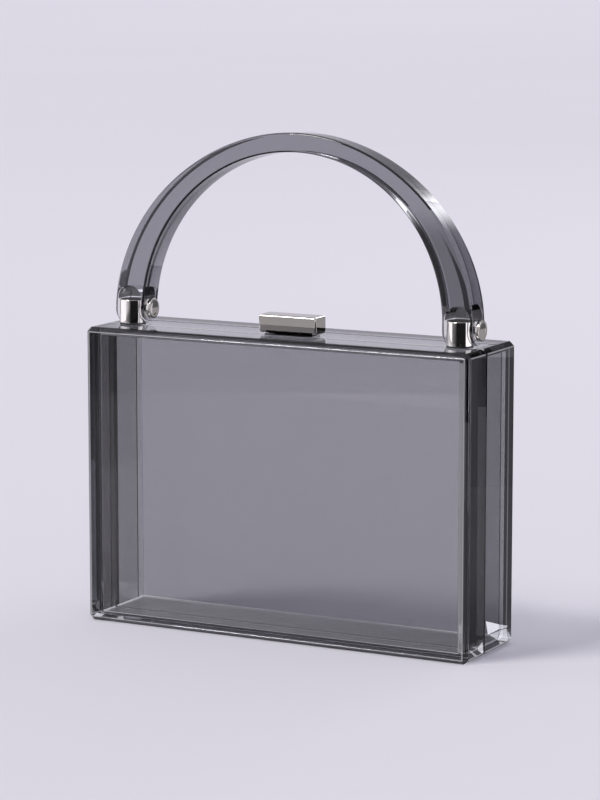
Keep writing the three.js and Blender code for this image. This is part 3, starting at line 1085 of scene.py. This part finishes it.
class CLUTCH_OT_clasp(bpy.types.Operator):
    """Polish the clasp's bar, and the low plates under it in a near-black metal as painted shade"""

    bl_idname = "clutch.clasp"
    bl_label = "Bar clasp"

    def execute(self, context):
        looks = context.scene.clutch.fittings
        metal = bpy.data.materials.get("polished_metal") or polished_metal("polished_metal", looks.metal)
        # Near-black plates as painted shade under the bar
        plate_shade = polished_metal("painted_shade_plate", looks.plate_shade)
        bar = node_form("clasp_bar")
        self.lean_front(bar, looks)
        soften(bar, looks.clasp_edge, lambda middle, size: size > MIN_EDGE / 4)
        stand_in(add_object("clasp_bar_polished", bar), "clasp_bar", metal)
        for node in ("clasp_foot", "strike_plate"):
            stand_in(add_object(f"{node}_polished", node_form(node)), node, plate_shade)
        return {"FINISHED"}

    def lean_front(self, bm, looks):
        """Let the bar's front lean out above a step"""
        low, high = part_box("clasp_bar")
        step = low.z + looks.bar_step * (high.z - low.z)
        cut = bm.verts[:] + bm.edges[:] + bm.faces[:]
        bmesh.ops.bisect_plane(bm, geom=cut, plane_co=(0, 0, step), plane_no=(0, 0, 1))
        middle = (low.y + high.y) / 2
        for vert in bm.verts:
            if vert.co.y < middle and vert.co.z < step + WELD:
                vert.co.y += looks.bar_lean


class CLUTCH_OT_stage(bpy.types.Operator):
    """Set up the pale paper studio, its soft light and the camera"""

    bl_idname = "clutch.stage"
    bl_label = "Studio"

    def execute(self, context):
        looks = context.scene.clutch.stage
        self.backdrop(looks)
        for name, settings in CARDS.items():
            self.standing_card(name, *settings)
        for name, settings in FLOOR_CARDS.items():
            self.floor_card(name, *settings)
        self.lamps(looks)
        self.sky(context.scene, looks)
        self.camera(context.scene, looks)
        self.rendering(context.scene)
        return {"FINISHED"}

    def backdrop(self, looks):
        """Lay a round paper floor that curves up far behind the bag"""
        profile = [(radius, 0.0) for radius in FLOOR_RINGS]
        centre = (looks.floor_radius, looks.sweep_radius)
        profile += arc(centre, looks.sweep_radius, -1, looks.sweep_turn / (math.pi / 2) - 1, SWEEP_STEPS)
        bm = turned(profile, ROUND_STEPS)
        bmesh.ops.reverse_faces(bm, faces=bm.faces)
        paper = add_object("paper_sweep", bm)
        paper.data.materials.append(studio_paper("studio_paper", looks.paper))
        paper.data.shade_smooth()

    def standing_card(self, name, azimuths, away, foot, top, ends, glow):
        """Stand a curved card round the bag between two azimuths in degrees"""
        start, end = (math.radians(azimuth) for azimuth in azimuths)
        bm = bmesh.new()
        columns = []
        for step in range(CARD_STEPS + 1):
            azimuth = start + (end - start) * step / CARD_STEPS
            base = Vector((math.sin(azimuth), -math.cos(azimuth), 0)) * away
            columns.append([bm.verts.new(base + Vector((0, 0, z))) for z in (foot, top)])
        for one, two in zip(columns, columns[1:]):
            bm.faces.new((one[0], two[0], two[1], one[1]))
        reach = (away * math.sin(start), away * math.sin(end))
        self.put_card(name, bm, card(name, ends, reach, glow))

    def floor_card(self, name, near, far, rgb):
        """Lay a card on the floor beside the bag"""
        bm = bmesh.new()
        corners = ((near[0], near[1]), (far[0], near[1]), (far[0], far[1]), (near[0], far[1]))
        bm.faces.new([bm.verts.new((x, y, CARD_LIFT)) for x, y in corners])
        self.put_card(name, bm, card(name, (rgb, rgb), (near[0], far[0]), 0.0))

    def put_card(self, name, bm, material):
        """Add a card that shows in gloss alone"""
        made = add_object(name, bm)
        made.data.materials.append(material)
        made.visible_camera = False
        made.visible_diffuse = False
        made.visible_shadow = False

    def lamps(self, looks):
        """Hang a broad key light at the front left and a weak rim light behind"""
        key = bpy.data.lights.new("key_light", "SUN")
        key.energy = looks.key_strength
        key.angle = looks.key_size
        level = math.cos(looks.key_rise)
        azimuth = looks.key_azimuth
        away = Vector((math.sin(azimuth) * level, -math.cos(azimuth) * level, math.sin(looks.key_rise)))
        self.place_lamp(key, away * KEY_AWAY)
        rim = bpy.data.lights.new("rim_light", "AREA")
        rim.energy = RIM_POWER
        rim.size = RIM_SIZE
        self.place_lamp(rim, Vector(RIM_PLACE))

    def place_lamp(self, lamp, place):
        """Turn a lamp to the bag's middle"""
        made = bpy.data.objects.new(lamp.name, lamp)
        made.location = place
        aim = Vector((0, 0, CAD_HIGH.z / 2)) - place
        made.rotation_euler = aim.to_track_quat("-Z", "Y").to_euler()
        bpy.context.scene.collection.objects.link(made)

    def sky(self, scene, looks):
        """Give the studio an even light from all round"""
        world = bpy.data.worlds.new("studio_sky")
        world.use_nodes = True
        glow = world.node_tree.nodes["Background"]
        glow.inputs["Color"].default_value = opaque(looks.sky)
        glow.inputs["Strength"].default_value = looks.sky_strength
        scene.world = world

    def camera(self, scene, looks):
        """Look at the bag as the photograph does"""
        away = Vector((math.sin(looks.azimuth), -math.cos(looks.azimuth), 0))
        look = -away * math.cos(looks.tilt) - Vector((0, 0, math.sin(looks.tilt)))
        right = Vector((math.cos(looks.azimuth), math.sin(looks.azimuth), 0))
        up = right.cross(look)
        place = away * looks.distance + right * looks.sideways
        place.z = looks.height
        camera = bpy.data.cameras.new("camera")
        camera.sensor_fit = "VERTICAL"
        camera.sensor_height = SENSOR_MM
        camera.lens = looks.lens
        made = bpy.data.objects.new("camera", camera)
        turn_to = Matrix((right, up, -look)).transposed().to_4x4()
        made.matrix_world = Matrix.Translation(place) @ turn_to
        scene.collection.objects.link(made)
        scene.camera = made

    def rendering(self, scene):
        """Let light pass all of the acrylic's faces"""
        scene.view_settings.view_transform = "Standard"
        scene.cycles.max_bounces = BOUNCES
        scene.cycles.transmission_bounces = BOUNCES
        scene.cycles.glossy_bounces = GLOSSY_BOUNCES
        scene.cycles.transparent_max_bounces = BOUNCES


class CLUTCH_PT_panel(bpy.types.Panel):
    """Lists the steps that dress the clutch"""

    bl_idname = "CLUTCH_PT_panel"
    bl_label = "Box clutch"
    bl_space_type = "VIEW_3D"
    bl_region_type = "UI"
    bl_category = "Clutch"

    def draw(self, context):
        for step in STEPS:
            self.layout.operator(step.bl_idname)
        for group in ("acrylic", "handle", "fittings", "stage"):
            box = self.layout.box()
            settings = getattr(context.scene.clutch, group)
            for name in settings.__annotations__:
                box.prop(settings, name)


STEPS = (CLUTCH_OT_stage, CLUTCH_OT_shells, CLUTCH_OT_handle, CLUTCH_OT_posts, CLUTCH_OT_clasp)
GROUPS = (ClutchAcrylic, ClutchHandle, ClutchFittings, ClutchStage, ClutchSettings)
CLASSES = (*GROUPS, *STEPS, CLUTCH_PT_panel)


def register():
    for each in CLASSES:
        bpy.utils.register_class(each)
    bpy.types.Scene.clutch = PointerProperty(type=ClutchSettings)


def unregister():
    del bpy.types.Scene.clutch
    for each in reversed(CLASSES):
        bpy.utils.unregister_class(each)


def main():
    """Dress the frame"""
    register()
    bpy.ops.clutch.stage()
    bpy.ops.clutch.shells()
    bpy.ops.clutch.handle()
    bpy.ops.clutch.posts()
    bpy.ops.clutch.clasp()


if __name__ == "__main__":
    main()
